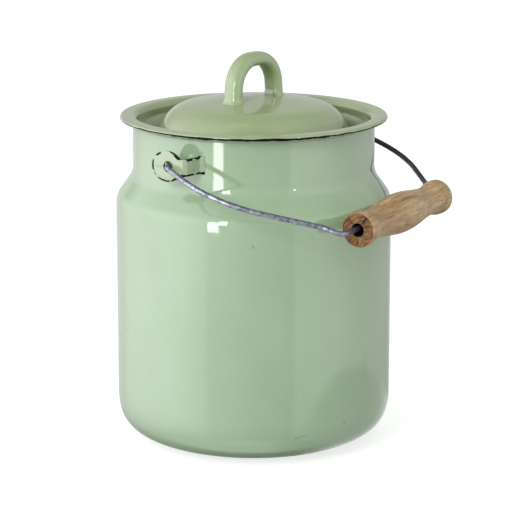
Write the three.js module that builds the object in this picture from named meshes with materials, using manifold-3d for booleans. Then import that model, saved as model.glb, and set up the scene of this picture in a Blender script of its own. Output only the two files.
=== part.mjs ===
// Enamelled milk pail: a drawn steel pail with a narrower neck, a lid with a loop handle,
// two welded ears and a wire bail with a turned wooden grip.
// Millimetres, +Z up. The origin is the centre of the flat base. The ears lie on the X axis
// and the bail is lowered towards -Y.
import * as THREE from "three";
import { mergeVertices } from "three/addons/utils/BufferGeometryUtils.js";
import Module from "manifold-3d";

const wasm = await Module();
wasm.setup();

// Driving dimensions
const ROUND_STEPS = 48; // facets round the pail and the lid
const ARC_STEP = Math.PI / 9; // largest turn between two stations on a small arc
const GAP = 0.3; // clearance between pieces that touch
const SHEET = 1.1; // steel with its enamel

const BODY_RADIUS = 80;
const NECK_RADIUS = 70;
const BASE_CORNER = { across: 54, up: 31.3, power: 3.4, steps: 11 }; // a superellipse arc
const SHOULDER = { height: 144.1, radius: 13.5 }; // corner between the side and the slope
const NECK_FILLET = { height: 157.8, radius: 14.9 }; // corner between the slope and the neck
const RIM_HEIGHT = 188.9;

const LID_TURN = THREE.MathUtils.degToRad(-3.7);
const DOME_TOP = 200.8;
const DOME_RADIUS = 236.5; // sphere that the dome is part of
const DOME_EDGE = 37.8; // where the dome starts to turn down
const HOOP_TOP = 191.5;
const HOOP_RADIUS = 77.4;
const HOOP_LIP = 189.1;
const CHANNEL_FLOOR = 179.8;
const RECESS_RADIUS = 67.1; // inner face of the wall that drops into the neck

const LOOP = { foot: 19, shoulder: 17.3, bend: 16.4, crown: 223.3, width: 10.8, thick: 8 };

const PIVOT_HEIGHT = 173.3;
const EAR = { plate: 82.7, thick: 1.6, strap: 9.6, bend: 10.4, root: 11.6, hole: 3 };
const EYE = { offset: -1, halfLength: 10.2, halfHeight: 8.7 };

const BAIL_ANGLE = THREE.MathUtils.degToRad(18.4); // below level
const WIRE_RADIUS = 1.5;
const GRIP = { length: 97.1, bore: 3.6, end: 10.1, waist: 8.4, belly: 11.4 };
const GRIP_NEAR = new THREE.Vector2(-39.3, -101.2); // centre of the end face at -X, in the bail
const GRIP_FAR = new THREE.Vector2(57.6, -95.1); // centre of the end face at +X

const enamel = new THREE.MeshStandardMaterial({ color: 0xb4c8a6, roughness: 0.16 });
const lidEnamel = new THREE.MeshStandardMaterial({ color: 0xa9bb8c, roughness: 0.16 });
const zinc = new THREE.MeshStandardMaterial({ color: 0x8b8f96, roughness: 0.38, metalness: 1 });
const wood = new THREE.MeshStandardMaterial({ color: 0xb0946a, roughness: 0.6 });

// Joins the shared corners of a closed geometry and makes a manifold-3d solid of it.
function solid(geometry) {
  const bare = geometry.clone();
  bare.deleteAttribute("normal");
  bare.deleteAttribute("uv");
  const merged = mergeVertices(bare, 1e-4);
  return new wasm.Manifold(
    new wasm.Mesh({
      numProp: 3,
      vertProperties: new Float32Array(merged.attributes.position.array),
      triVerts: new Uint32Array(merged.index.array),
    }),
  );
}

// Turns a manifold-3d solid back into a geometry.
function geometryOf(manifold) {
  const made = manifold.getMesh();
  const geometry = new THREE.BufferGeometry();
  geometry.setAttribute("position", new THREE.BufferAttribute(made.vertProperties, 3));
  geometry.setIndex(new THREE.BufferAttribute(made.triVerts, 1));
  geometry.computeVertexNormals();
  return geometry;
}

function namedMesh(name, geometry, material) {
  const mesh = new THREE.Mesh(geometry, material);
  mesh.name = name;
  return mesh;
}

// Points along a chain of corners [x, y, radius], with an arc at each corner that has a radius.
function roundedPath(corners, arcStep = ARC_STEP) {
  const points = [];
  corners.forEach(([x, y, radius = 0], i) => {
    const corner = new THREE.Vector2(x, y);
    if (radius === 0) {
      points.push(corner);
      return;
    }
    const back = new THREE.Vector2(corners[i - 1][0], corners[i - 1][1]).sub(corner).normalize();
    const on = new THREE.Vector2(corners[i + 1][0], corners[i + 1][1]).sub(corner).normalize();
    const half = Math.acos(THREE.MathUtils.clamp(back.dot(on), -1, 1)) / 2;
    const centre = back.clone().add(on).normalize();
    centre.multiplyScalar(radius / Math.sin(half)).add(corner);
    const start = back.clone().multiplyScalar(radius / Math.tan(half)).add(corner);
    const turn = (Math.PI - 2 * half) * -Math.sign(back.cross(on));
    const steps = Math.max(2, Math.round(Math.abs(turn) / arcStep));
    for (let k = 0; k <= steps; k += 1) {
      points.push(start.clone().rotateAround(centre, (turn * k) / steps));
    }
  });
  return points;
}

// Closed outline of a sheet whose one face follows the points; side 1 thickens to the left.
function sheetOutline(points, side) {
  const other = points.map((point, i) => {
    const before = points[Math.max(i - 1, 0)];
    const after = points[Math.min(i + 1, points.length - 1)];
    const into = point.clone().sub(before).normalize();
    const out = after.clone().sub(point).normalize();
    if (i === 0) into.copy(out);
    if (i === points.length - 1) out.copy(into);
    const along = into.clone().add(out).normalize();
    const mitre = SHEET / Math.max(along.dot(out), 0.5);
    const x = point.x - along.y * side * mitre;
    const y = point.y + along.x * side * mitre;
    return new THREE.Vector2(point.x === 0 ? 0 : x, y);
  });
  const outline = points.concat(other.reverse());
  return side > 0 ? outline : outline.reverse();
}

// Turns an outline of [radius, height] round the Z axis.
function turned(outline, steps = ROUND_STEPS) {
  return new THREE.LatheGeometry(outline, steps).rotateX(Math.PI / 2);
}

// A curve through stations, which a sweep visits one by one.
class StationCurve extends THREE.CatmullRomCurve3 {
  getUtoTmapping(u) {
    return u;
  }
}

// Sweeps a section along a path drawn in the XY plane; the section's x lies across that plane.
function swept(section, path, curveSegments) {
  const stations = path.map((point) => new THREE.Vector3(point.x, point.y, 0));
  return new THREE.ExtrudeGeometry(section, {
    steps: stations.length - 1,
    curveSegments,
    extrudePath: new StationCurve(stations),
  });
}

function domeHeight(radius) {
  return DOME_TOP - DOME_RADIUS + Math.sqrt(DOME_RADIUS ** 2 - radius ** 2);
}

// The pail: flat base, rounded base corner, straight side, shoulder and straight neck.
function pailBody() {
  const { across, up, power, steps } = BASE_CORNER;
  const face = [new THREE.Vector2(0, 0)];
  for (let k = 0; k <= steps; k += 1) {
    const angle = (k / steps) * (Math.PI / 2);
    const x = BODY_RADIUS - across + across * Math.sin(angle) ** (2 / power);
    face.push(new THREE.Vector2(x, up - up * Math.cos(angle) ** (2 / power)));
  }
  face.push(
    ...roundedPath([
      [BODY_RADIUS, SHOULDER.height - 2 * SHOULDER.radius],
      [BODY_RADIUS, SHOULDER.height, SHOULDER.radius],
      [NECK_RADIUS, NECK_FILLET.height, NECK_FILLET.radius],
      [NECK_RADIUS, RIM_HEIGHT],
    ]),
  );
  return turned(sheetOutline(face, 1));
}

// The lid: a dome, a channel round it, a wall that drops into the neck and a hoop over the rim.
function lid() {
  const face = [];
  for (let k = 0; k <= 5; k += 1) {
    const x = (DOME_EDGE * k) / 5;
    face.push(new THREE.Vector2(x, domeHeight(x)));
  }
  face.push(
    ...roundedPath([
      [DOME_EDGE + 0.1, domeHeight(DOME_EDGE + 0.1)],
      [52, domeHeight(DOME_EDGE) - 2.3, 20.8],
      [55.7, CHANNEL_FLOOR, 3],
      [RECESS_RADIUS, CHANNEL_FLOOR, 6],
      [RECESS_RADIUS, HOOP_TOP, 4],
      [HOOP_RADIUS, HOOP_TOP, 2.3],
      [HOOP_RADIUS, HOOP_LIP],
    ]),
  );
  return turned(sheetOutline(face, -1));
}

// The lid's loop: a strap of D-shaped section, bent to an arch and flared at both feet.
function lidLoop() {
  const { foot, shoulder, bend, crown, width, thick } = LOOP;
  const section = new THREE.Shape();
  section.moveTo(-width / 2 + 2, -thick / 2);
  section.lineTo(width / 2 - 2, -thick / 2);
  section.quadraticCurveTo(width / 2, -thick / 2, width / 2, -thick / 2 + 2.6);
  section.bezierCurveTo(width / 2, thick / 3, width / 4, thick / 2, 0, thick / 2);
  section.bezierCurveTo(-width / 4, thick / 2, -width / 2, thick / 3, -width / 2, -thick / 2 + 2.6);
  section.quadraticCurveTo(-width / 2, -thick / 2, -width / 2 + 2, -thick / 2);
  const path = roundedPath(
    [
      [-foot, DOME_TOP - 5],
      [-foot, DOME_TOP + 3, 20],
      [-shoulder, crown, bend],
      [shoulder, crown, bend],
      [foot, DOME_TOP + 3, 20],
      [foot, DOME_TOP - 5],
    ],
    Math.PI / 14,
  );
  let loop = solid(swept(section, path, 3).rotateX(Math.PI / 2));
  for (const x of [-foot, foot]) {
    const collar = new THREE.CylinderGeometry(4.1, 5, 3.4, 20).rotateX(Math.PI / 2);
    collar.scale(1, 1.3, 1).translate(x, 0, DOME_TOP + 0.2);
    loop = loop.add(solid(collar));
  }
  const under = [new THREE.Vector2(0, DOME_TOP - 12)];
  under.push(new THREE.Vector2(34, DOME_TOP - 12));
  for (let k = 6; k >= 0; k -= 1) {
    const x = (34 * k) / 6;
    under.push(new THREE.Vector2(x, domeHeight(x) + GAP));
  }
  return geometryOf(loop.subtract(solid(turned(under))));
}

// An ear at +X: a strap that stands off the neck, bends and ends in a flat pierced eye.
function ear() {
  const { plate, thick, strap, bend, root, hole } = EAR;
  const section = new THREE.Shape();
  section.moveTo(-strap / 2, -thick / 2);
  section.lineTo(strap / 2, -thick / 2);
  section.lineTo(strap / 2, thick / 2);
  section.lineTo(-strap / 2, thick / 2);
  section.closePath();
  const path = roundedPath([
    [NECK_RADIUS - 4, root + 0.6],
    [plate, bend, 2],
    [plate, 0],
  ]);
  const eye = new THREE.Shape();
  eye.absellipse(EYE.offset, 0, EYE.halfLength, EYE.halfHeight, 0, 2 * Math.PI, false, 0);
  const disc = new THREE.ExtrudeGeometry(eye, { depth: thick, bevelEnabled: false, curveSegments: 26 });
  disc.applyMatrix4(
    new THREE.Matrix4().makeBasis(
      new THREE.Vector3(0, 1, 0),
      new THREE.Vector3(0, 0, 1),
      new THREE.Vector3(1, 0, 0),
    ),
  );
  disc.translate(plate - thick / 2, 0, 0);
  const drill = new THREE.CylinderGeometry(hole, hole, 8, 20).rotateZ(Math.PI / 2);
  drill.translate(plate, 0, 0);
  const neck = new THREE.CylinderGeometry(NECK_RADIUS + GAP, NECK_RADIUS + GAP, 40, 96);
  neck.rotateX(Math.PI / 2);
  return geometryOf(
    solid(swept(section, path, 1)).add(solid(disc)).subtract(solid(drill)).subtract(solid(neck)),
  );
}

// Half of the bail, as corners in its own plane: x across the pail, -y out to the grip.
function bailHalf(side, kinkOut, kinkIn) {
  return [
    [side * 77.2, 7.2],
    [side * 77.2, 0, 2.4],
    [side * 85.4, 0, 2.4],
    [side * 93.9, -28.7, 55],
    [side * 87.4, -54.9, 55],
    kinkOut,
    kinkIn,
  ];
}

// The bail: one wire, hooked through both ears, with a kink beside each end of the grip.
function bailWire() {
  const near = bailHalf(-1, [-57.8, -90, 2.6], [-54.6, -101, 5.5]);
  const far = bailHalf(1, [62.9, -85.5, 2.6], [60.2, -94, 3.2]);
  const section = new THREE.Shape();
  section.absarc(0, 0, WIRE_RADIUS, 0, 2 * Math.PI, false);
  return swept(section, roundedPath(near.concat(far.reverse())), 4);
}

// The grip: a turned wooden handle with a belly, two waists, rounded ends and a through bore.
function grip() {
  const { length, bore, end, waist, belly } = GRIP;
  const half = length / 2;
  const outline = [new THREE.Vector2(bore, -half), new THREE.Vector2(end - 1.4, -half)];
  outline.push(new THREE.Vector2(end - 0.3, -half + 0.5), new THREE.Vector2(end, -half + 1.8));
  const waistAt = half - 14.5;
  for (let k = -8; k <= 8; k += 1) {
    const x = (k / 8) * (half - 4);
    const t = Math.abs(x);
    const inner = waist + ((belly - waist) * (1 + Math.cos((Math.PI * t) / waistAt))) / 2;
    const rise = (t - waistAt) / (half - 4 - waistAt);
    const outer = waist + ((end - waist) * (1 - Math.cos(Math.PI * rise))) / 2;
    outline.push(new THREE.Vector2(t < waistAt ? inner : outer, x));
  }
  outline.push(new THREE.Vector2(end, half - 1.8), new THREE.Vector2(end - 0.3, half - 0.5));
  outline.push(new THREE.Vector2(end - 1.4, half), new THREE.Vector2(bore, half));
  outline.push(outline[0].clone());
  return new THREE.LatheGeometry(outline, 24).rotateZ(-Math.PI / 2);
}

const pail = new THREE.Group();
pail.add(namedMesh("pail_body", pailBody(), enamel));

const cover = new THREE.Group();
cover.rotation.z = LID_TURN;
cover.add(namedMesh("lid", lid(), lidEnamel));
cover.add(namedMesh("lid_loop", lidLoop(), lidEnamel));
pail.add(cover);

for (const [name, turn] of [
  ["ear_left", Math.PI],
  ["ear_right", 0],
]) {
  const mesh = namedMesh(name, ear(), enamel);
  mesh.position.z = PIVOT_HEIGHT;
  mesh.rotation.z = turn;
  pail.add(mesh);
}

const bail = new THREE.Group();
bail.position.z = PIVOT_HEIGHT;
bail.rotation.x = BAIL_ANGLE;
bail.add(namedMesh("bail_wire", bailWire(), zinc));
const handGrip = namedMesh("grip", grip(), wood);
const middle = GRIP_NEAR.clone().add(GRIP_FAR).multiplyScalar(0.5);
handGrip.position.set(middle.x, middle.y, 0);
handGrip.rotation.z = GRIP_FAR.clone().sub(GRIP_NEAR).angle();
bail.add(handGrip);
pail.add(bail);

export default pail;
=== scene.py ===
"""Looks of the enamelled milk pail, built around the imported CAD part.

Metres, in the CAD frame: +Z up, the ears on the X axis, the bail lowered towards -Y.
"""

import math

import bmesh
import bpy
from mathutils import Matrix, Vector


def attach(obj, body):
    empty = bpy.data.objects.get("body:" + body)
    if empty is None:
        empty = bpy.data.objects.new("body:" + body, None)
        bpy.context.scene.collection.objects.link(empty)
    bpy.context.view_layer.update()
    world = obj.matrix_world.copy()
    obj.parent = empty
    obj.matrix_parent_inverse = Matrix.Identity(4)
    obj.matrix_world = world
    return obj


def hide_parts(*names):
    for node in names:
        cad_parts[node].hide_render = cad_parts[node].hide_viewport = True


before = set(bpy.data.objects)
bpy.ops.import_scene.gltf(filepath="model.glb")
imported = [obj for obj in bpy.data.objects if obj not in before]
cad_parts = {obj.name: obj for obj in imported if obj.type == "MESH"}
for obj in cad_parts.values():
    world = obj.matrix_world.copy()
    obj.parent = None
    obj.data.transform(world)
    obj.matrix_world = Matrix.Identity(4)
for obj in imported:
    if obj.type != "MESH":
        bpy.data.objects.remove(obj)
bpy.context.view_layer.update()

MM = 0.001

# Driving dimensions, in millimetres, the same as the CAD's.
SHEET = 1.1
BODY_RADIUS = 80.0
NECK_RADIUS = 70.0
BASE_ACROSS = 54.0
BASE_UP = 31.3
BASE_POWER = 3.4  # the base corner is a quarter of a superellipse
SIDE_TOP = 130.0  # where the straight side ends
SHOULDER_HEIGHT = 144.1
SHOULDER_BEND = 13.5
NECK_FOOT_HEIGHT = 157.8
NECK_FOOT_BEND = 14.9
RIM_HEIGHT = 188.9
BEAD_RADIUS = 1.2  # the bead rolled at the mouth

LID_TURN = math.radians(-3.7)
DOME_TOP = 200.8
DOME_SPHERE = 236.5
DOME_EDGE = 37.8  # where the dome starts to turn down
DOME_FOOT_RADIUS = 52.0
DOME_FOOT_DROP = 2.3
DOME_FOOT_BEND = 20.8
CHANNEL_RADIUS = 55.7
CHANNEL_BEND = 3.0
CHANNEL_FLOOR = 179.8
RECESS_RADIUS = 67.1  # the wall that drops into the neck
RECESS_FOOT_BEND = 6.0
RECESS_TOP_BEND = 4.0
HOOP_TOP = 191.5
HOOP_RADIUS = 77.4
HOOP_BEND = 1.5
HOOP_LIP = 189.1
LIP_MIDDLE = 189.9
LIP_DROP = 0.45

LOOP_FOOT = 19.0
LOOP_SHOULDER = 17.3
LOOP_BEND = 16.4
LOOP_LEG_BEND = 20.0
LOOP_LEG_UP = 3.0  # how far the legs' lower bends are over the dome's top
LOOP_CROWN = 223.29
LOOP_WIDTH = 10.8
LOOP_THICK = 8.0
LOOP_SIDE_POWER = 2.5  # the section's corners are superellipses: sides, outer face, inner face
LOOP_OUTER_POWER = 2.1
LOOP_INNER_POWER = 3.2
FLARE = 0.24  # how much the feet widen, and over what height
FLARE_HEIGHT = 3.4

PIVOT_HEIGHT = 173.3
EAR_PLATE = 82.7
EAR_THICK = 1.6
EAR_STRAP = 9.6
EAR_STRAP_END = 24.1
EAR_EDGE = 0.32  # rounding of the cut edges
EAR_BEND_AT = 10.4
EAR_BEND_RADIUS = 2.0
EAR_ROOT_AT = 11.6
EYE_OFFSET = -1.0
EYE_LENGTH = 10.2
EYE_HEIGHT = 8.7
EYE_HOLE = 3.0
WELD_LENGTH = 3.4  # the fillet at the strap's root
WELD_WIDER = 0.16  # the shares that it adds to the strap's width and to its thickness
WELD_THICKER = 2.6

BAIL_ANGLE = math.radians(18.4)
WIRE_RADIUS = 1.47
HOOK_INNER = 77.2  # where the hooks pass inside and outside the ears
HOOK_OUTER = 85.4
HOOK_TIP = 7.2
HOOK_BEND = 2.4
BOW = ((93.9, -28.7), (87.4, -54.9))
BOW_BEND = 55.0
KINK_NEAR = ((-57.8, -90.0, 2.6), (-54.6, -101.0, 5.5))  # corners beside the grip, with radii
KINK_FAR = ((62.9, -85.5, 2.6), (60.2, -94.0, 3.2))
GRIP_LENGTH = 97.1
GRIP_WAIST_AT = 14.5  # from each end
GRIP_EDGE = 1.6  # rounding of the ends
GRIP_BORE = 3.6
GRIP_END = 10.05
GRIP_WAIST = 8.35
GRIP_BELLY = 11.35
GRIP_NEAR = Vector((-39.3, -101.2))
GRIP_FAR = Vector((57.6, -95.1))


# ---------------------------------------------------------------- mesh helpers


def rounded_path(corners, arc_step):
    """Points along corners (x, y, radius), with an arc at each corner that has a radius."""
    points = []
    for i, (x, y, radius) in enumerate(corners):
        corner = Vector((x, y))
        if radius == 0:
            points.append(corner)
            continue
        back = (Vector(corners[i - 1][:2]) - corner).normalized()
        onward = (Vector(corners[i + 1][:2]) - corner).normalized()
        half = back.angle(onward) / 2
        centre = corner + (back + onward).normalized() * (radius / math.sin(half))
        start = corner + back * (radius / math.tan(half))
        turn = (math.pi - 2 * half) * -math.copysign(1, back.x * onward.y - back.y * onward.x)
        steps = max(4, round(abs(turn) / arc_step))
        for k in range(steps + 1):
            spoke = start - centre
            spoke.rotate(Matrix.Rotation(turn * k / steps, 2))
            points.append(centre + spoke)
    return points


def offset_path(points, distance):
    """The points moved to the left of their direction of travel."""
    moved = []
    for i, point in enumerate(points):
        into = (point - points[max(i - 1, 0)]).normalized()
        onward = (points[min(i + 1, len(points) - 1)] - point).normalized()
        if i == 0:
            into = onward
        if i == len(points) - 1:
            onward = into
        along = (into + onward).normalized()
        mitre = distance / max(along.dot(onward), 0.5)
        x = point.x - along.y * mitre if point.x else 0.0
        moved.append(Vector((x, point.y + along.x * mitre)))
    return moved


def finish_mesh(name, mesh_data, place=Matrix.Identity(4), sharp_angle=40.0):
    """Makes an object of a bmesh in millimetres, put in place, with sharp corners kept."""
    bmesh.ops.remove_doubles(mesh_data, verts=mesh_data.verts, dist=1e-4)
    bmesh.ops.recalc_face_normals(mesh_data, faces=mesh_data.faces)
    if mesh_data.calc_volume(signed=True) < 0:
        bmesh.ops.reverse_faces(mesh_data, faces=mesh_data.faces)
    bmesh.ops.transform(mesh_data, matrix=Matrix.Scale(MM, 4) @ place, verts=mesh_data.verts)
    mesh = bpy.data.meshes.new(name)
    mesh_data.to_mesh(mesh)
    mesh_data.free()
    mesh.shade_smooth()
    mesh.set_sharp_from_angle(angle=math.radians(sharp_angle))
    made = bpy.data.objects.new(name, mesh)
    bpy.context.scene.collection.objects.link(made)
    return made


def circle(radius, sides):
    turns = [2 * math.pi * k / sides for k in range(sides)]
    return [(radius * math.cos(t), radius * math.sin(t)) for t in turns]


def lathe(outline, steps):
    """A bmesh of an outline of (radius, height) turned round Z; it closes on itself."""
    made = bmesh.new()
    rings = []
    for point in outline:
        if point.x < 1e-6:
            rings.append([made.verts.new((0, 0, point.y))] * steps)
            continue
        rings.append([made.verts.new((x, y, point.y)) for x, y in circle(point.x, steps)])
    for first, second in zip(rings, rings[1:] + rings[:1]):
        for k in range(steps):
            after = (k + 1) % steps
            corners = [first[k], first[after], second[after], second[k]]
            corners = [v for i, v in enumerate(corners) if v not in corners[:i]]
            if len(corners) > 2:
                made.faces.new(corners)
    return made


def sweep(path, section_at, sides):
    """A bmesh of a section moved along 3-D points.

    section_at(i, across, up) gives the section's points, measured along those two directions.
    """
    made = bmesh.new()
    rings = []
    across = None
    for i, point in enumerate(path):
        tangent = (path[min(i + 1, len(path) - 1)] - path[max(i - 1, 0)]).normalized()
        if across is None:
            across = tangent.orthogonal().normalized()
        across = (across - tangent * across.dot(tangent)).normalized()
        up = tangent.cross(across)
        section = section_at(i, across, up)
        rings.append([made.verts.new(point + across * a + up * b) for a, b in section])
    for first, second in zip(rings, rings[1:]):
        for k in range(sides):
            after = (k + 1) % sides
            made.faces.new((first[k], first[after], second[after], second[k]))
    made.faces.new(rings[0])
    made.faces.new(rings[-1][::-1])
    return made


def in_steps(points, step):
    """The points with more between them, so that none lie much further apart than a step."""
    dense = []
    for first, second in zip(points, points[1:]):
        pieces = max(1, round((second - first).length / step))
        dense += [first.lerp(second, k / pieces) for k in range(pieces)]
    dense.append(points[-1])
    return dense


# ------------------------------------------------------------ material helpers


class Graph:
    """A node tree, built node by node, with coordinates to start from."""

    def __init__(self, tree, coordinates):
        self.tree = tree
        self.place = self.node("ShaderNodeTexCoord").outputs[coordinates]

    def node(self, kind, **values):
        made = self.tree.nodes.new(kind)
        for key, value in values.items():
            setattr(made, key, value)
        return made

    def feed(self, socket, value):
        if isinstance(value, bpy.types.NodeSocket):
            self.tree.links.new(value, socket)
        else:
            socket.default_value = value

    def maths(self, operation, first, second=0.0, third=0.0):
        made = self.node("ShaderNodeMath", operation=operation)
        for socket, value in zip(made.inputs, (first, second, third)):
            self.feed(socket, value)
        return made.outputs[0]

    def stretched(self, scale=(1.0, 1.0, 1.0), turn=(0.0, 0.0, 0.0), move=(0.0, 0.0, 0.0)):
        """The coordinates, stretched, turned and moved."""
        made = self.node("ShaderNodeMapping")
        self.feed(made.inputs["Vector"], self.place)
        made.inputs["Location"].default_value = move
        made.inputs["Rotation"].default_value = turn
        made.inputs["Scale"].default_value = scale
        return made.outputs[0]

    def noise(self, scale, detail=3.0, rough=0.5, vector=None, distortion=0.0):
        made = self.node("ShaderNodeTexNoise")
        self.feed(made.inputs["Vector"], vector or self.place)
        made.inputs["Scale"].default_value = scale
        made.inputs["Detail"].default_value = detail
        made.inputs["Roughness"].default_value = rough
        made.inputs["Distortion"].default_value = distortion
        return made.outputs["Fac"]

    def cells(self, scale, vector=None):
        made = self.node("ShaderNodeTexVoronoi")
        self.feed(made.inputs["Vector"], vector or self.place)
        made.inputs["Scale"].default_value = scale
        return made.outputs["Distance"]

    def span(self, value, low, high, to_low=0.0, to_high=1.0, easing="LINEAR"):
        """Maps low..high to to_low..to_high, held at both ends."""
        made = self.node("ShaderNodeMapRange", interpolation_type=easing)
        for socket, number in zip(made.inputs, (value, low, high, to_low, to_high)):
            self.feed(socket, number)
        return made.outputs[0]

    def mix(self, share, first, second, blend="MIX"):
        made = self.node("ShaderNodeMix", data_type="RGBA", blend_type=blend)
        self.feed(made.inputs[0], share)
        self.feed(made.inputs[6], first)
        self.feed(made.inputs[7], second)
        return made.outputs[2]

    def axes(self):
        made = self.node("ShaderNodeSeparateXYZ")
        self.feed(made.inputs[0], self.place)
        return made.outputs[0], made.outputs[1], made.outputs[2]

    def away(self, first, second):
        """How far a point is from the axis that the two coordinates are measured from."""
        squares = [self.maths("MULTIPLY", value, value) for value in (first, second)]
        return self.maths("SQRT", self.maths("ADD", *squares))

    def levels(self, share, stops):
        """A grey that follows stops of (share, level)."""
        made = self.node("ShaderNodeValToRGB")
        self.feed(made.inputs[0], share)
        elements = made.color_ramp.elements
        while len(elements) < len(stops):
            elements.new(0.5)
        for element, (position, level) in zip(elements, stops):
            element.position = position
            element.color = grey(level)
        return made.outputs[0]

    def background(self, tint, strength):
        made = self.node("ShaderNodeBackground")
        self.feed(made.inputs["Color"], tint)
        self.feed(made.inputs["Strength"], strength)
        return made.outputs[0]

    def either(self, share, first, second):
        """The first shader where the share is 0, the second where it is 1."""
        made = self.node("ShaderNodeMixShader")
        for socket, value in zip(made.inputs, (share, first, second)):
            self.feed(socket, value)
        return made.outputs[0]


class Look(Graph):
    """A material with a Principled shader, in the object's coordinates, in metres."""

    def __init__(self, name):
        self.material = bpy.data.materials.new(name)
        self.material.use_nodes = True
        super().__init__(self.material.node_tree, "Object")
        self.shader = self.tree.nodes["Principled BSDF"]

    def use_frame(self, place):
        """Takes coordinates in a frame of its own, given as a matrix in millimetres."""
        made = self.node("ShaderNodeMapping", vector_type="TEXTURE")
        self.feed(made.inputs["Vector"], self.place)
        made.inputs["Location"].default_value = place.to_translation() * MM
        made.inputs["Rotation"].default_value = place.to_euler()
        self.place = made.outputs[0]

    def bump(self, height, distance, strength=1.0):
        made = self.node("ShaderNodeBump")
        made.inputs["Distance"].default_value = distance
        made.inputs["Strength"].default_value = strength
        self.feed(made.inputs["Height"], height)
        self.feed(self.shader.inputs["Normal"], made.outputs[0])


def grey(level):
    return (level, level, level, 1.0)


def colour(red, green, blue):
    """A linear colour from display values of 0 to 255."""

    def linear(value):
        share = value / 255
        return share / 12.92 if share <= 0.04045 else ((share + 0.055) / 1.055) ** 2.4

    return (linear(red), linear(green), linear(blue), 1.0)


BLACK_ENAMEL = colour(9, 11, 9)
EAR_GREENS = (colour(180, 199, 164), colour(168, 188, 150))


def near_line(look, start, end, width, waver):
    """1 on a thin line between two points in metres, 0 away from it, with a broken edge."""
    first = Vector(start)
    along = Vector(end) - first
    offset = look.node("ShaderNodeVectorMath", operation="SUBTRACT")
    look.feed(offset.inputs[0], look.place)
    offset.inputs[1].default_value = first
    dot = look.node("ShaderNodeVectorMath", operation="DOT_PRODUCT")
    look.feed(dot.inputs[0], offset.outputs[0])
    dot.inputs[1].default_value = along / along.length_squared
    share = look.span(dot.outputs["Value"], 0.0, 1.0)
    foot = look.node("ShaderNodeVectorMath", operation="SCALE")
    foot.inputs[0].default_value = along
    look.feed(foot.inputs["Scale"], share)
    gap = look.node("ShaderNodeVectorMath", operation="DISTANCE")
    look.feed(gap.inputs[0], offset.outputs[0])
    look.feed(gap.inputs[1], foot.outputs[0])
    wobble = look.maths("MULTIPLY", look.maths("SUBTRACT", waver, 0.5), width * 3)
    distance = look.maths("ADD", gap.outputs["Value"], wobble)
    return look.span(distance, width * 1.15, width * 0.6)


def on_side(turn, height):
    """A point on the pail below its shoulder, turn degrees round from +X, height in millimetres."""
    angle = math.radians(turn)
    below = max(0.0, (BASE_UP - height) / BASE_UP)
    radius = BODY_RADIUS - BASE_ACROSS + BASE_ACROSS * (1 - below**BASE_POWER) ** (1 / BASE_POWER)
    return (radius * math.cos(angle) * MM, radius * math.sin(angle) * MM, height * MM)


def enamel(name, tint, deep, scratches=()):
    """Glossy vitreous enamel: clouded colour, faint orange peel, pinholes and given scratches."""
    look = Look(name)
    cloud = look.noise(16.0, 2.0, 0.5)
    fine = look.noise(260.0, 3.0, 0.6)
    share = look.span(look.maths("MULTIPLY_ADD", fine, 0.25, cloud), 0.42, 0.83)
    base = look.mix(share, tint, deep)
    specks = look.span(look.cells(95.0), 0.055, 0.03)
    rare = look.span(look.noise(37.0, 1.0), 0.60, 0.68)
    pinholes = look.maths("MULTIPLY", specks, rare)
    base = look.mix(look.maths("MULTIPLY", pinholes, 0.55), base, colour(88, 98, 74))
    waver = look.noise(700.0, 3.0, 0.7)
    worn = pinholes
    for start, end, width, strength in scratches:
        line = look.maths("MULTIPLY", near_line(look, start, end, width * MM, waver), strength)
        base = look.mix(line, base, colour(84, 92, 72))
        worn = look.maths("MAXIMUM", worn, line)
    hair = look.noise(1.0, 2.0, 0.6, look.stretched((900.0, 900.0, 55.0), (0.5, 0.35, 0.0)))
    smear = look.span(look.noise(30.0, 3.0, 0.6), 0.35, 0.75, 0.035, 0.10)
    rough = look.maths("MULTIPLY_ADD", look.span(hair, 0.62, 0.74), 0.04, smear)
    rough = look.maths("MULTIPLY_ADD", worn, 0.35, rough)
    look.feed(look.shader.inputs["Roughness"], rough)
    look.shader.inputs["IOR"].default_value = 1.52
    peel = look.maths("MULTIPLY_ADD", look.noise(120.0, 2.0), 0.35, look.noise(22.0, 1.0))
    height = look.maths("SUBTRACT", peel, look.maths("MULTIPLY", worn, 2.0))
    look.bump(height, 0.00012, 0.35)
    look.base = base
    look.feed(look.shader.inputs["Base Color"], base)
    return look


def show_black(look, base, bare, dull=0.0):
    """The base colour, with dull black where `bare` is 1 and less gloss where `dull` is 1."""
    look.feed(look.shader.inputs["Base Color"], look.mix(bare, base, BLACK_ENAMEL))
    duller = look.maths("MAXIMUM", bare, dull)
    look.feed(look.shader.inputs["Specular IOR Level"], look.span(duller, 0.0, 1.0, 0.5, 0.08))


# The pail's scratches: the start, the end, the width in millimetres and the strength.
SCRATCHES = (
    (on_side(231.0, 18.4), on_side(236.5, 19.8), 0.2, 0.8),
    (on_side(254.2, 24.8), on_side(255.0, 22.6), 0.25, 0.6),
    (on_side(267.2, 50.0), on_side(266.8, 61.0), 0.16, 0.45),
    (on_side(214.0, 131.0), on_side(214.6, 129.4), 0.3, 0.6),
    (on_side(150.0, 70.0), on_side(143.0, 76.0), 0.18, 0.5),
    (on_side(60.0, 40.0), on_side(52.0, 47.0), 0.2, 0.55),
    (on_side(20.0, 110.0), on_side(17.0, 99.0), 0.2, 0.5),
    (on_side(318.0, 96.0), on_side(325.0, 92.0), 0.18, 0.5),
)


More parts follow.
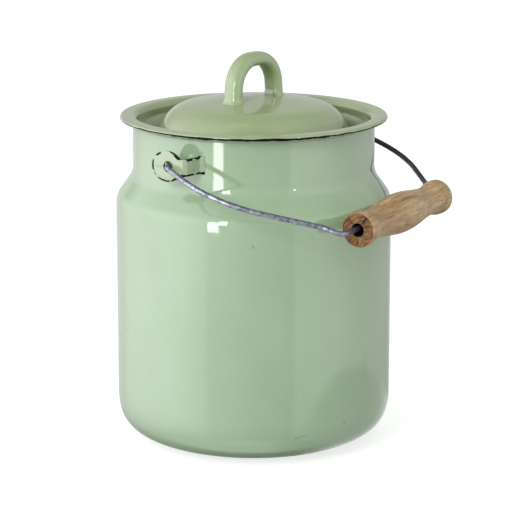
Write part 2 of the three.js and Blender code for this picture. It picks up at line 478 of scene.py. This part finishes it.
def pail_enamel():
    """The pail's enamel, bare along the mouth's bead and dark where the base has stood."""
    look = enamel("pail_green_enamel", colour(170, 196, 162), colour(162, 189, 152), SCRATCHES)
    x, y, z = look.axes()
    radius = look.away(x, y)
    ragged = look.maths("MULTIPLY", look.noise(160.0, 3.0, 0.6), 1.6 * MM)
    rim = look.span(look.maths("ADD", z, ragged), (RIM_HEIGHT - 0.4) * MM, (RIM_HEIGHT - 0.2) * MM)
    foot = look.maths("ADD", look.maths("MULTIPLY", look.noise(300.0, 4.0, 0.7), 1.2 * MM), z)
    low = look.span(foot, 0.95 * MM, 0.7 * MM)
    stood = look.maths("MULTIPLY", low, look.span(radius, 30 * MM, 40 * MM))
    base = look.mix(stood, look.base, colour(60, 62, 54))
    show_black(look, base, rim)
    return look.material


def lid_enamel():
    """The lid's enamel, bare along the lip, with painted shade, darker and duller, in part of the
    channel.
    """
    look = enamel("lid_green_enamel", colour(168, 184, 142), colour(160, 177, 132))
    x, y, z = look.axes()
    radius = look.away(x, y)
    outer = look.span(radius, (HOOP_RADIUS - 2.6) * MM, (HOOP_RADIUS - 2.2) * MM)
    broken = look.maths("MULTIPLY", look.noise(75.0, 4.0, 0.65), 1.7 * MM)
    height = look.maths("SUBTRACT", z, broken)
    lip = look.span(height, (HOOP_LIP + 0.42) * MM, (HOOP_LIP + 0.3) * MM)
    bare = look.maths("MULTIPLY", outer, lip)
    # Painted shade: the channel between dome and hoop is darkened and dulled, from none at -X to full
    # at +X.
    ragged = look.maths("MULTIPLY_ADD", look.noise(70.0, 3.0, 0.6), 1.6 * MM, z)
    low = look.span(ragged, (CHANNEL_FLOOR + 12.4) * MM, (CHANNEL_FLOOR + 10) * MM)
    past_dome = look.span(radius, (CHANNEL_RADIUS - 5.7) * MM, (CHANNEL_RADIUS + 1.3) * MM)
    before_hoop = look.span(radius, (RECESS_RADIUS + 4.4) * MM, (RECESS_RADIUS - 4.6) * MM)
    channel = look.maths("MULTIPLY", look.maths("MULTIPLY", low, past_dome), before_hoop)
    painted_channel_shade = look.maths("MULTIPLY", channel, look.span(x, -60 * MM, 60 * MM))
    base = look.mix(painted_channel_shade, look.base, colour(88, 100, 64))
    show_black(look, base, bare, look.maths("MULTIPLY", painted_channel_shade, 0.85))
    return look.material


def loop_enamel():
    """The loop's enamel, with painted shade on the inner face of the arch."""
    look = enamel("loop_green_enamel", colour(170, 188, 145), colour(162, 181, 135))
    x, y, z = look.axes()
    across = look.maths("ABSOLUTE", look.maths("MULTIPLY_ADD", y, math.tan(LID_TURN), x))
    across = look.maths("SUBTRACT", across, (LOOP_SHOULDER - LOOP_BEND) * MM)
    above = look.maths("SUBTRACT", z, (LOOP_CROWN - LOOP_BEND) * MM)
    leg_slope = (LOOP_FOOT - LOOP_SHOULDER) / (LOOP_CROWN - DOME_TOP - LOOP_LEG_UP)
    spread = look.maths("MULTIPLY", look.maths("MINIMUM", above, 0.0), leg_slope)
    above = look.maths("MAXIMUM", above, 0.0)
    across = look.maths("MAXIMUM", look.maths("ADD", across, spread), 0.0)
    reach = look.away(across, above)
    inner = LOOP_BEND - LOOP_THICK / 2
    # Painted shade: the inner face of the arch is darkened, as the legs shade it.
    dark = look.span(reach, (inner + 2.2) * MM, (inner + 0.1) * MM, 0.0, 0.92)
    look.feed(look.shader.inputs["Base Color"], look.mix(dark, look.base, colour(88, 102, 62)))
    return look.material


# The black runs on the ears.
EYE_RUN = 0.86  # where they start round the eye, as a share of its size
STRAP_RUN = 1.1  # how far in they reach from the strap's sides
STRAP_FROM = 7.5  # where the strap leaves the eye


def bare_edge(look):
    """1 along the ears' outlines, where the green has run thin over black, 0 away from them."""
    x, y, z = look.axes()
    along = look.maths("MULTIPLY", y, look.maths("SIGN", x))
    height = look.maths("ABSOLUTE", look.maths("SUBTRACT", z, PIVOT_HEIGHT * MM))
    across = look.maths("DIVIDE", look.maths("SUBTRACT", along, EYE_OFFSET * MM), EYE_LENGTH * MM)
    up = look.maths("DIVIDE", height, EYE_HEIGHT * MM)
    reach = look.away(across, up)
    ragged = look.maths("MULTIPLY", look.maths("SUBTRACT", look.noise(420.0, 3.0, 0.6), 0.5), 0.10)
    eye = look.span(look.maths("ADD", reach, ragged), EYE_RUN, EYE_RUN + 0.02)
    edge = EAR_STRAP / 2 - STRAP_RUN
    strap = look.span(look.maths("MULTIPLY_ADD", ragged, 9 * MM, height), (edge - 0.15) * MM, edge * MM)
    on_strap = look.span(along, (STRAP_FROM - 0.2) * MM, STRAP_FROM * MM)
    eye = look.maths("MULTIPLY", eye, look.maths("SUBTRACT", 1.0, on_strap))
    return look.maths("MAXIMUM", eye, look.maths("MULTIPLY", strap, on_strap))


def ear_enamel():
    """The ears' faces, with broken black runs along their outlines and two chips."""
    look = enamel("ear_green_enamel", *EAR_GREENS)
    runs = look.span(look.noise(170.0, 1.0, 0.5), 0.535, 0.495)
    dark = look.maths("MULTIPLY", bare_edge(look), runs)
    chips = look.span(look.cells(210.0), 0.10, 0.07)
    chips = look.maths("MULTIPLY", chips, look.span(look.noise(60.0, 1.0), 0.56, 0.60))
    dark = look.maths("MAXIMUM", dark, chips)
    show_black(look, look.base, dark)
    return look.material


def edge_enamel():
    """The cut edges of the ears: black, where the green has run thin, with green breaks."""
    look = enamel("ear_edge_enamel", *EAR_GREENS)
    runs = look.span(look.noise(170.0, 1.0, 0.5), 0.57, 0.53)
    show_black(look, look.base, runs)
    return look.material


def galvanised():
    """Dull blue-grey zinc with pale and dark mottling, and painted shade on the arm towards +X."""
    look = Look("galvanised_wire")
    patches = look.noise(340.0, 4.0, 0.65)
    spots = look.cells(420.0)
    base = look.mix(look.span(patches, 0.35, 0.65), colour(76, 81, 94), colour(150, 155, 168))
    base = look.mix(look.span(spots, 0.32, 0.18, 0.0, 0.55), base, colour(48, 51, 59))
    # Painted shade: the arm towards +X is darkened almost to black, from a ragged start.
    place = look.maths("MULTIPLY_ADD", patches, 20 * MM, look.axes()[0])
    painted_far_arm_shade = look.span(place, 55 * MM, 85 * MM, 0.0, 0.85)
    base = look.mix(painted_far_arm_shade, base, colour(26, 27, 31))
    look.feed(look.shader.inputs["Base Color"], base)
    look.shader.inputs["Metallic"].default_value = 0.85
    look.feed(look.shader.inputs["Roughness"], look.span(patches, 0.3, 0.7, 0.55, 0.38))
    look.bump(look.maths("MULTIPLY_ADD", spots, 0.6, patches), 0.00025, 0.5)
    return look.material


def wood_side():
    """Lacquered beech: streaks and short pores along the grip, with darker veins and stains."""
    look = Look("turned_wood_side")
    look.use_frame(grip_frame())
    streaks = look.noise(1.0, 5.0, 0.62, look.stretched((24.0, 420.0, 420.0)), 0.5)
    bands = look.noise(1.0, 2.0, 0.5, look.stretched((11.0, 110.0, 110.0)), 0.4)
    share = look.span(look.maths("MULTIPLY_ADD", bands, 0.9, streaks), 0.70, 1.18)
    base = look.mix(share, colour(150, 111, 64), colour(219, 189, 140))
    pores = look.cells(1.0, look.stretched((120.0, 1100.0, 1100.0)))
    crowded = look.span(bands, 0.36, 0.58, 0.35, 0.9)
    fine = look.maths("MULTIPLY", look.span(pores, 0.26, 0.14), crowded)
    base = look.mix(fine, base, colour(112, 82, 50))
    veins = look.noise(1.0, 3.0, 0.7, look.stretched((34.0, 620.0, 620.0), (0.0, 0.06, 0.03)))
    base = look.mix(look.span(veins, 0.57, 0.66, 0.0, 0.8), base, colour(112, 80, 46))
    stains = look.span(look.noise(70.0, 4.0, 0.65), 0.54, 0.68, 0.0, 0.5)
    base = look.mix(stains, base, colour(138, 109, 73))
    look.feed(look.shader.inputs["Base Color"], base)
    look.feed(look.shader.inputs["Roughness"], look.span(streaks, 0.3, 0.7, 0.42, 0.6))
    look.shader.inputs["Coat Weight"].default_value = 0.1
    look.shader.inputs["Coat Roughness"].default_value = 0.3
    look.bump(look.maths("SUBTRACT", streaks, look.maths("MULTIPLY", fine, 0.8)), 0.0003, 0.5)
    return look.material


# The cracks in the end grain: where each runs out, across and up, and its width, in millimetres.
CRACKS = ((-3.2, 9.0, 0.7), (6.6, 3.6, 0.22), (-3.0, -8.0, 0.28))


def wood_end():
    """End grain: brown, with uneven growth rings, pits, a wide crack, and painted shade in the
    black-brown bore.
    """
    look = Look("turned_wood_end")
    look.use_frame(grip_frame())
    off_centre = look.stretched(move=(0.0, 16 * MM, 11 * MM))
    rings = look.node("ShaderNodeTexWave", wave_type="RINGS", rings_direction="X")
    look.feed(rings.inputs["Vector"], off_centre)
    rings.inputs["Scale"].default_value = 150.0
    rings.inputs["Distortion"].default_value = 7.0
    rings.inputs["Detail"].default_value = 3.0
    patches = look.noise(190.0, 4.0, 0.65)
    share = look.maths("MULTIPLY_ADD", rings.outputs["Fac"], 0.22, patches)
    base = look.mix(look.span(share, 0.4, 0.85), colour(92, 61, 35), colour(168, 127, 86))
    blotches = look.span(look.noise(120.0, 3.0, 0.6), 0.52, 0.66, 0.0, 0.7)
    base = look.mix(blotches, base, colour(84, 52, 28))
    pits = look.span(look.cells(620.0), 0.27, 0.13, 0.0, 0.85)
    base = look.mix(pits, base, colour(52, 32, 21))
    waver = look.noise(520.0, 3.0, 0.7)
    half = GRIP_LENGTH / 2 * MM
    cracks = 0.0
    for across, up, width in CRACKS:
        for end in (-half, half):
            out = Vector((end, across * MM, up * MM))
            start = Vector((end, 0.6 * across * MM, 0.6 * up * MM))
            line = near_line(look, start, out, width * MM, waver)
            cracks = look.maths("MAXIMUM", cracks, line)
    base = look.mix(cracks, base, colour(26, 17, 12))
    # Painted shade: the bore and a thin ring round its mouth are black-brown.
    radius = look.away(*look.axes()[1:])
    frayed = look.maths("MULTIPLY_ADD", waver, 0.3 * MM, radius)
    painted_bore_shade = look.span(frayed, (GRIP_BORE + 0.5) * MM, (GRIP_BORE + 0.3) * MM)
    base = look.mix(painted_bore_shade, base, colour(30, 20, 14))
    look.feed(look.shader.inputs["Base Color"], base)
    look.shader.inputs["Roughness"].default_value = 0.62
    look.shader.inputs["Specular IOR Level"].default_value = 0.2
    height = look.maths("SUBTRACT", patches, pits)
    height = look.maths("SUBTRACT", height, look.maths("MULTIPLY", cracks, 2.0))
    look.bump(height, 0.0004, 0.6)
    return look.material


# ----------------------------------------------------------------- the pieces


ROUND_STEPS = 160  # facets round the pail and the lid
ARC_STEP = math.radians(5)


def pail_body(look):
    """The drawn shell, with a fine profile and a small bead rolled at the mouth."""
    face = [Vector((0.0, 0.0)), Vector((BODY_RADIUS - BASE_ACROSS, 0.0))]
    steps = 40
    for k in range(1, steps + 1):
        angle = k / steps * math.pi / 2
        x = BODY_RADIUS - BASE_ACROSS + BASE_ACROSS * math.sin(angle) ** (2 / BASE_POWER)
        face.append(Vector((x, BASE_UP - BASE_UP * math.cos(angle) ** (2 / BASE_POWER))))
    face += [Vector((BODY_RADIUS, z)) for z in range(40, round(SIDE_TOP), 6)]
    face += rounded_path(
        [
            (BODY_RADIUS, SIDE_TOP, 0),
            (BODY_RADIUS, SHOULDER_HEIGHT, SHOULDER_BEND),
            (NECK_RADIUS, NECK_FOOT_HEIGHT, NECK_FOOT_BEND),
            (NECK_RADIUS, RIM_HEIGHT - 2 * BEAD_RADIUS, 0),
        ],
        ARC_STEP,
    )
    inner = offset_path(face, SHEET)[::-1]
    bead = Vector((NECK_RADIUS - 0.1, RIM_HEIGHT - BEAD_RADIUS))
    rim = []
    steps = 14
    for k in range(steps + 1):
        turn = math.radians(-50 + 240 * k / steps)
        rim.append(bead + BEAD_RADIUS * Vector((math.cos(turn), math.sin(turn))))
    made = finish_mesh("pail_shell", lathe(face + rim + inner, ROUND_STEPS))
    made.data.materials.append(look)
    return made


def dome_height(radius):
    return DOME_TOP - DOME_SPHERE + math.sqrt(DOME_SPHERE**2 - radius**2)


def lid_shell(look):
    """The pressed lid: dome, channel, the wall in the neck, and the hoop with a rounded lip."""
    places = [DOME_EDGE * k / 12 for k in range(13)]
    face = [Vector((place, dome_height(place))) for place in places]
    face += rounded_path(
        [
            (DOME_EDGE + 0.1, dome_height(DOME_EDGE + 0.1), 0),
            (DOME_FOOT_RADIUS, dome_height(DOME_EDGE) - DOME_FOOT_DROP, DOME_FOOT_BEND),
            (CHANNEL_RADIUS, CHANNEL_FLOOR, CHANNEL_BEND),
            (RECESS_RADIUS, CHANNEL_FLOOR, RECESS_FOOT_BEND),
            (RECESS_RADIUS, HOOP_TOP, RECESS_TOP_BEND),
            (HOOP_RADIUS, HOOP_TOP, HOOP_BEND),
            (HOOP_RADIUS, LIP_MIDDLE, 0),
        ],
        ARC_STEP,
    )
    under = offset_path(face, -SHEET)[::-1]
    middle = Vector((HOOP_RADIUS - SHEET / 2, LIP_MIDDLE))
    lip = []
    steps = 6
    for k in range(steps + 1):
        turn = math.radians(-20 - 140 * k / steps)
        lip.append(middle + Vector((SHEET / 2 * math.cos(turn), LIP_DROP * math.sin(turn))))
    made = finish_mesh("lid_shell", lathe(face + lip + under, ROUND_STEPS))
    made.data.materials.append(look)
    return made


def lid_loop(look):
    """The strap handle, D-shaped in section, whose feet flare into the dome."""
    leg = (LOOP_FOOT, DOME_TOP + LOOP_LEG_UP, LOOP_LEG_BEND)
    shoulder = (LOOP_SHOULDER, LOOP_CROWN, LOOP_BEND)
    half = [(LOOP_FOOT, DOME_TOP - 2.6, 0), leg, shoulder]
    other_half = [(-x, y, radius) for x, y, radius in half]
    path = in_steps(rounded_path(other_half + half[::-1], math.radians(4)), 0.7)
    stations = [Vector((p.x, 0.0, p.y)) for p in path]
    centre = Vector((0, 0, LOOP_CROWN - 16))  # the strap's outer face looks away from here
    foot = dome_height(LOOP_FOOT) + 0.1
    sides = 40

    def section(i, across, up):
        """The strap's wide side lies across the arch, and its flatter face looks inwards."""
        above = stations[i].z - foot
        flare = 1 + FLARE * max(0.0, 1 - above / FLARE_HEIGHT) ** 2.2
        outward = (stations[i] - centre).normalized()
        tangent = across.cross(up)
        outward = (outward - tangent * outward.dot(tangent)).normalized()
        placed = []
        for c, s in circle(1.0, sides):
            wide = LOOP_WIDTH / 2 * math.copysign(abs(c) ** (2 / LOOP_SIDE_POWER), c)
            power = 2 / LOOP_OUTER_POWER if s > 0 else 2 / LOOP_INNER_POWER
            deep = LOOP_THICK / 2 * math.copysign(abs(s) ** power, s)
            target = Vector((0, wide * (1 + flare) / 2, 0)) + outward * deep * flare
            placed.append((target.dot(across), target.dot(up)))
        return placed

    turned = Matrix.Rotation(LID_TURN, 4, "Z")
    made = finish_mesh("lid_loop_strap", sweep(stations, section, sides), turned)
    made.data.materials.append(look)
    return made


def ear_outline():
    """The flat outline of an ear, (along the strap, height), with the eye round the origin."""
    join = math.asin(EAR_STRAP / 2 / EYE_HEIGHT)
    points = []
    steps = 72
    for k in range(steps + 1):
        turn = join + (2 * math.pi - 2 * join) * k / steps
        points.append((EYE_OFFSET + EYE_LENGTH * math.cos(turn), EYE_HEIGHT * math.sin(turn)))
    return points


def bent_ear_point(s, up, out):
    """A point of the flat ear carried round the bend: s along the strap, out from its middle."""
    start = Vector((EAR_PLATE, EAR_BEND_AT))
    behind_neck = Vector((NECK_RADIUS - 4, EAR_ROOT_AT + 0.6))
    onward = (behind_neck - start).normalized()
    turn = Vector((0, 1)).angle(onward)
    tangent = EAR_BEND_RADIUS * math.tan(turn / 2)
    bend_from = EAR_BEND_AT - tangent
    arc = EAR_BEND_RADIUS * turn
    if s <= bend_from:
        return Vector((EAR_PLATE + out, s, up))
    centre = Vector((EAR_PLATE - EAR_BEND_RADIUS, bend_from))
    a = min(s - bend_from, arc) / EAR_BEND_RADIUS
    spoke = Vector((math.cos(a), math.sin(a)))
    past_bend = max(0.0, s - bend_from - arc)
    point = centre + spoke * (EAR_BEND_RADIUS + out) + onward * past_bend
    return Vector((point.x, point.y, up))


def cut_across(flat, direction, distance):
    """Adds edges where a plane, square to the direction, crosses the sheet."""
    geometry = flat.verts[:] + flat.edges[:] + flat.faces[:]
    place = [distance * part for part in direction]
    bmesh.ops.bisect_plane(flat, geom=geometry, plane_co=place, plane_no=direction)


def flat_ear():
    """An ear as one flat pierced sheet with rounded edges, which have the second material."""
    outline = [(EAR_STRAP_END, -EAR_STRAP / 2), (EAR_STRAP_END, EAR_STRAP / 2)] + ear_outline()
    flat = bmesh.new()
    edges = []
    for ring in (outline, circle(EYE_HOLE, 40)):
        verts = [flat.verts.new((s, h, 0)) for s, h in ring]
        pairs = zip(verts, verts[1:] + verts[:1])
        edges += [flat.edges.new(pair) for pair in pairs]
    bmesh.ops.triangle_fill(flat, use_beauty=True, edges=edges)
    # closer together round the bend and at the weld
    cuts = [6.0 + 0.35 * k for k in range(20)] + [14.0 + 1.0 * k for k in range(6)]
    cuts += [20.0 + 0.4 * k for k in range(10)]
    for s in cuts:
        cut_across(flat, (1, 0, 0), s)
    for k in range(-3, 4):
        cut_across(flat, (0, 1, 0), EAR_STRAP / 8 * k)
    bmesh.ops.recalc_face_normals(flat, faces=flat.faces)
    whole = bmesh.ops.extrude_face_region(flat, geom=flat.faces[:])
    raised = [v for v in whole["geom"] if isinstance(v, bmesh.types.BMVert)]
    for vert in flat.verts:
        vert.co.z = -EAR_THICK / 2
    for vert in raised:
        vert.co.z = EAR_THICK / 2
    bmesh.ops.recalc_face_normals(flat, faces=flat.faces)
    flat.normal_update()
    cut_edges = [e for e in flat.edges if len(e.link_faces) == 2 and e.calc_face_angle() > 1.0]
    bmesh.ops.bevel(flat, geom=cut_edges, offset=EAR_EDGE, segments=3, profile=0.5, affect="EDGES")
    flat.normal_update()
    for face in flat.faces:
        face.material_index = 1 if abs(face.normal.z) < 0.8 else 0
    return flat


def ear(name, turn, face_look, edge_look):
    """One ear: a pierced eye and its strap, bent from one sheet, with a weld fillet."""
    bent = flat_ear()
    for vert in bent.verts:
        s, h, out = vert.co
        root = max(0.0, s - (EAR_STRAP_END - WELD_LENGTH)) / WELD_LENGTH
        wider = 1 + WELD_WIDER * root**2.5
        thicker = 1 + WELD_THICKER * root**3
        vert.co = bent_ear_point(s, h * wider, out * thicker)
    place = Matrix.Translation((0, 0, PIVOT_HEIGHT)) @ Matrix.Rotation(turn, 4, "Z")
    made = finish_mesh(name, bent, place, 50)
    made.data.materials.append(face_look)
    made.data.materials.append(edge_look)
    return made


def bail_half(side, kink):
    """Corners from one hook's tip, through the ear and along the bow, to the kink at the grip."""
    hook = [(side * HOOK_INNER, HOOK_TIP, 0), (side * HOOK_INNER, 0.0, HOOK_BEND)]
    hook.append((side * HOOK_OUTER, 0.0, HOOK_BEND))
    bow = [(side * x, y, BOW_BEND) for x, y in BOW]
    return hook + bow + list(kink)


def bail_frame():
    """The bail's own plane: across on X, out to the grip on -Y, lowered by the bail's angle."""
    return Matrix.Translation((0, 0, PIVOT_HEIGHT)) @ Matrix.Rotation(BAIL_ANGLE, 4, "X")


def grip_frame():
    """The grip's own frame: its centre, with X along it."""
    centre = (GRIP_NEAR + GRIP_FAR) / 2
    along = GRIP_FAR - GRIP_NEAR
    turned = Matrix.Rotation(math.atan2(along.y, along.x), 4, "Z")
    return bail_frame() @ Matrix.Translation((centre.x, centre.y, 0)) @ turned


def bail_wire(look):
    """One wire from hook to hook, with chamfered tips."""
    corners = bail_half(-1, KINK_NEAR) + bail_half(1, KINK_FAR)[::-1]
    path = in_steps(rounded_path(corners, math.radians(6)), 2.0)
    stations = [Vector((p.x, p.y, 0.0)) for p in path]
    sides = 24
    ring = circle(WIRE_RADIUS, sides)
    tip = circle(WIRE_RADIUS * 0.72, sides)
    chamfer = 0.45
    stations = [stations[0] - (stations[1] - stations[0]).normalized() * chamfer] + stations
    stations.append(stations[-1] + (stations[-1] - stations[-2]).normalized() * chamfer)
    last = len(stations) - 1
    swept = sweep(stations, lambda i, across, up: tip if i in (0, last) else ring, sides)
    made = finish_mesh("bail_wire_fine", swept, bail_frame(), 60)
    made.data.materials.append(look)
    return made


def grip_profile():
    """The grip's outline, (radius, place along it), with a belly, two waists and soft ends."""
    half = GRIP_LENGTH / 2
    waist_at = half - GRIP_WAIST_AT
    turned_to = half - 4
    end = [Vector((GRIP_BORE, -half + 0.5)), Vector((GRIP_BORE + 0.35, -half + 0.1))]
    end += [Vector((radius, -half)) for radius in (4.4, 5.6, 6.8, 8.0)]
    edge = Vector((GRIP_END - GRIP_EDGE, -half + GRIP_EDGE))
    for k in range(7):
        turn = math.radians(-90 + 15 * k)
        end.append(edge + GRIP_EDGE * Vector((math.cos(turn), math.sin(turn))))
    side = []
    steps = 44
    for k in range(-steps, steps + 1):
        t = abs(k) / steps * turned_to
        belly = GRIP_WAIST + (GRIP_BELLY - GRIP_WAIST) * (1 + math.cos(math.pi * t / waist_at)) / 2
        rise = (t - waist_at) / (turned_to - waist_at)
        flared = GRIP_WAIST + (GRIP_END - GRIP_WAIST) * (1 - math.cos(math.pi * rise)) / 2
        side.append(Vector((belly if t < waist_at else flared, math.copysign(t, k))))
    other_end = [Vector((p.x, -p.y)) for p in end][::-1]
    bore = [Vector((GRIP_BORE, half * (1 - k / 6))) for k in range(1, 12)]
    return end + side + other_end + bore


def grip(side_look, end_look):
    """The turned grip, with end grain on its flat ends and in its bore."""
    turned = lathe(grip_profile(), 96)
    bmesh.ops.rotate(turned, matrix=Matrix.Rotation(math.pi / 2, 3, "Y"), verts=turned.verts)
    turned.normal_update()
    half = GRIP_LENGTH / 2
    for face in turned.faces:
        middle = face.calc_center_median()
        flat_end = abs(middle.x) > half - 0.5
        inside = math.hypot(middle.y, middle.z) < GRIP_BORE + 0.1
        face.material_index = 1 if flat_end or inside else 0
    made = finish_mesh("grip_turned", turned, grip_frame(), 60)
    made.data.materials.append(side_look)
    made.data.materials.append(end_look)
    return made


def build_pail():
    """Makes every piece, ties it to its body, and hides the CAD node that it replaces."""
    green = ear_enamel()
    edge = edge_enamel()
    pieces = [
        (pail_body(pail_enamel()), "pail", "enamel_pail", "pail_body"),
        (ear("ear_left_sheet", math.pi, green, edge), "pail", "enamel_pail", "ear_left"),
        (ear("ear_right_sheet", 0.0, green, edge), "pail", "enamel_pail", "ear_right"),
        (lid_shell(lid_enamel()), "lid", "enamel_lid", "lid"),
        (lid_loop(loop_enamel()), "lid", "enamel_lid", "lid_loop"),
        (bail_wire(galvanised()), "bail", "zinc_wire", "bail_wire"),
        (grip(wood_side(), wood_end()), "grip", "turned_wood", "grip"),
    ]
    for piece, body, slot, node in pieces:
        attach(piece, body)
        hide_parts(node)


# ------------------------------------------------------------------ the studio

# The camera's place and aim, in metres, and the length of its lens, in millimetres.
CAMERA_AT = Vector((-1.1214, -0.7728, 0.4244))
CAMERA_AIM = Vector((0.0004, -0.0013, 0.10675))
LENS = 167.65

BRIGHTEST = 6.0
# What the gloss mirrors: (degrees to the left of the camera, brightness), 180 behind the pail.
MIRRORED = [
    (-180, 0.6), (-150, 0.7), (-130, 1.2), (-110, 1.7), (-90, 2.1), (-70, 2.5), (-52, 2.5),
    (-46, 2.2), (-36, 2.2), (-32, 1.2), (0, 1.15), (12, 1.5), (24, 1.85), (38, 2.2), (41, 3.2),
    (50, 3.8), (60, 4.5), (80, 4.8), (97, 4.1), (109, 3.5), (124, 2.6), (144, 1.3), (180, 0.6),
]
# How that fades downwards and upwards: (sine of the height over the horizon, share).
FADING = [
    (-1.0, 0.15), (-0.6, 0.45), (-0.32, 0.78), (-0.24, 1.0), (0.35, 1.0), (0.6, 0.6), (1.0, 0.25),
]
BACK_WALL = 0.6  # brightness low behind the pail
TABLE = 1.8  # brightness of the table in front
EVEN_LIGHT = 0.62


def around(turn, height, distance):
    """A point, turn degrees to the left of the camera as seen from the pail."""
    angle = math.atan2(CAMERA_AT.y, CAMERA_AT.x) - math.radians(turn)
    return Vector((distance * math.cos(angle), distance * math.sin(angle), height))


def camera():
    data = bpy.data.cameras.new("camera")
    data.lens = LENS
    data.sensor_width = 36.0
    data.clip_start = 0.05
    data.clip_end = 20.0
    made = bpy.data.objects.new("camera", data)
    bpy.context.scene.collection.objects.link(made)
    made.location = CAMERA_AT
    made.rotation_euler = (CAMERA_AIM - CAMERA_AT).to_track_quat("-Z", "Y").to_euler()
    bpy.context.scene.camera = made


def panel(name, at, aim, width, height, strength):
    """A soft rectangular light, in watts."""
    data = bpy.data.lights.new(name, "AREA")
    data.shape = "RECTANGLE"
    data.size = width
    data.size_y = height
    data.energy = strength
    made = bpy.data.objects.new(name, data)
    bpy.context.scene.collection.objects.link(made)
    made.location = at
    made.rotation_euler = (Vector(aim) - at).to_track_quat("-Z", "Y").to_euler()
    made.visible_camera = False
    return made


def room():
    """A soft room: an even light for the matt share, and bright walls for the gloss."""
    world = bpy.data.worlds.new("room")
    world.use_nodes = True
    bpy.context.scene.world = world
    graph = Graph(world.node_tree, "Generated")
    graph.place = graph.stretched(turn=(0.0, 0.0, -math.atan2(CAMERA_AT.y, CAMERA_AT.x)))
    forward, rightward, upward = graph.axes()
    share = graph.span(graph.maths("ARCTAN2", rightward, forward), math.pi, -math.pi)
    stops = [((degrees + 180) / 360, level / BRIGHTEST) for degrees, level in MIRRORED]
    walls = graph.levels(share, stops)
    fading = graph.levels(graph.span(upward, -1.0, 1.0), [((sine + 1) / 2, f) for sine, f in FADING])
    lit = graph.mix(1.0, walls, fading, "MULTIPLY")
    behind = graph.span(forward, -0.6, -0.9)
    low_sky = graph.span(upward, 0.10, 0.23, easing="SMOOTHSTEP")
    lit = graph.mix(graph.maths("MULTIPLY", behind, low_sky), lit, grey(BACK_WALL / BRIGHTEST))
    ahead = graph.maths("MULTIPLY", graph.span(rightward, 0.55, 0.1), graph.span(forward, -0.3, 0.0))
    table = graph.maths("MULTIPLY", ahead, graph.span(upward, -0.55, -0.75))
    lit = graph.mix(table, lit, grey(TABLE / BRIGHTEST))
    path = graph.node("ShaderNodeLightPath")
    even = graph.background((0.98, 1.0, 1.0, 1.0), EVEN_LIGHT)
    mirrored = graph.either(path.outputs["Is Glossy Ray"], even, graph.background(lit, BRIGHTEST))
    white = graph.background(grey(1.0), 1.0)
    seen = graph.either(path.outputs["Is Camera Ray"], mirrored, white)
    graph.feed(graph.tree.nodes["World Output"].inputs["Surface"], seen)


def floor():
    """A plain pale floor that the gloss doesn't mirror."""
    made_mesh = bmesh.new()
    bmesh.ops.create_grid(made_mesh, x_segments=4, y_segments=4, size=3000)
    made = finish_mesh("floor", made_mesh)
    made.location.z = -0.0002
    look = Look("pale_floor")
    grain = look.span(look.noise(8.0, 2.0), 0.3, 0.7, 0.52, 0.56)
    tone = look.node("ShaderNodeCombineColor")
    for socket in tone.inputs:
        look.feed(socket, grain)
    look.feed(look.shader.inputs["Base Color"], tone.outputs[0])
    look.shader.inputs["Roughness"].default_value = 0.9
    look.shader.inputs["Specular IOR Level"].default_value = 0.0
    look.shader.inputs["Emission Color"].default_value = (1.0, 1.0, 1.0, 1.0)
    lit = look.node("ShaderNodeLightPath").outputs["Is Camera Ray"]
    look.feed(look.shader.inputs["Emission Strength"], look.maths("MULTIPLY", lit, 0.72))
    made.data.materials.append(look.material)
    made.visible_glossy = False


def shadow_card():
    """A dim disc on the floor to the right, which only the gloss sees, like a shadow there."""
    radius = 122
    disc = bmesh.new()
    bmesh.ops.create_circle(disc, cap_ends=True, segments=48, radius=radius)
    made = finish_mesh("shadow_card", disc)
    made.location = around(-75, -0.0001, 0.15)
    look = Look("dim_card")
    tone = look.span(look.noise(6.0, 2.0), 0.3, 0.7, 0.9, 1.1)
    reach = look.away(*look.axes()[:2])
    look.feed(look.shader.inputs["Alpha"], look.span(reach, radius * MM, 95 * MM))
    look.shader.inputs["Base Color"].default_value = (0.0, 0.0, 0.0, 1.0)
    look.shader.inputs["Specular IOR Level"].default_value = 0.0
    look.shader.inputs["Emission Color"].default_value = (1.0, 1.0, 1.0, 1.0)
    look.feed(look.shader.inputs["Emission Strength"], tone)
    made.data.materials.append(look.material)
    made.visible_camera = False
    made.visible_diffuse = False
    made.visible_shadow = False


def studio():
    """The camera, the room, the floor, the lights and the card."""
    camera()
    room()
    floor()
    bpy.context.scene.view_settings.view_transform = "Standard"
    key = panel("key_light", around(31, 1.2, 2.15), (0, 0, 0.1), 0.9, 1.0, 24.5)
    key.visible_glossy = False
    neck = (0, 0, 0.19)
    shoulder = (0, 0, 0.16)
    windows = [
        panel("window", around(32.5, 0.25, 1.4), neck, 0.23, 0.73, 6.5),
        panel("window_corner", around(25.0, 0.54, 1.4), neck, 0.17, 0.46, 3.0),
        panel("small_pane", around(-37.4, 0.38, 1.4), shoulder, 0.05, 0.11, 0.35),
    ]
    for window in windows:
        window.visible_diffuse = False
    shadow_card()


build_pail()
studio()
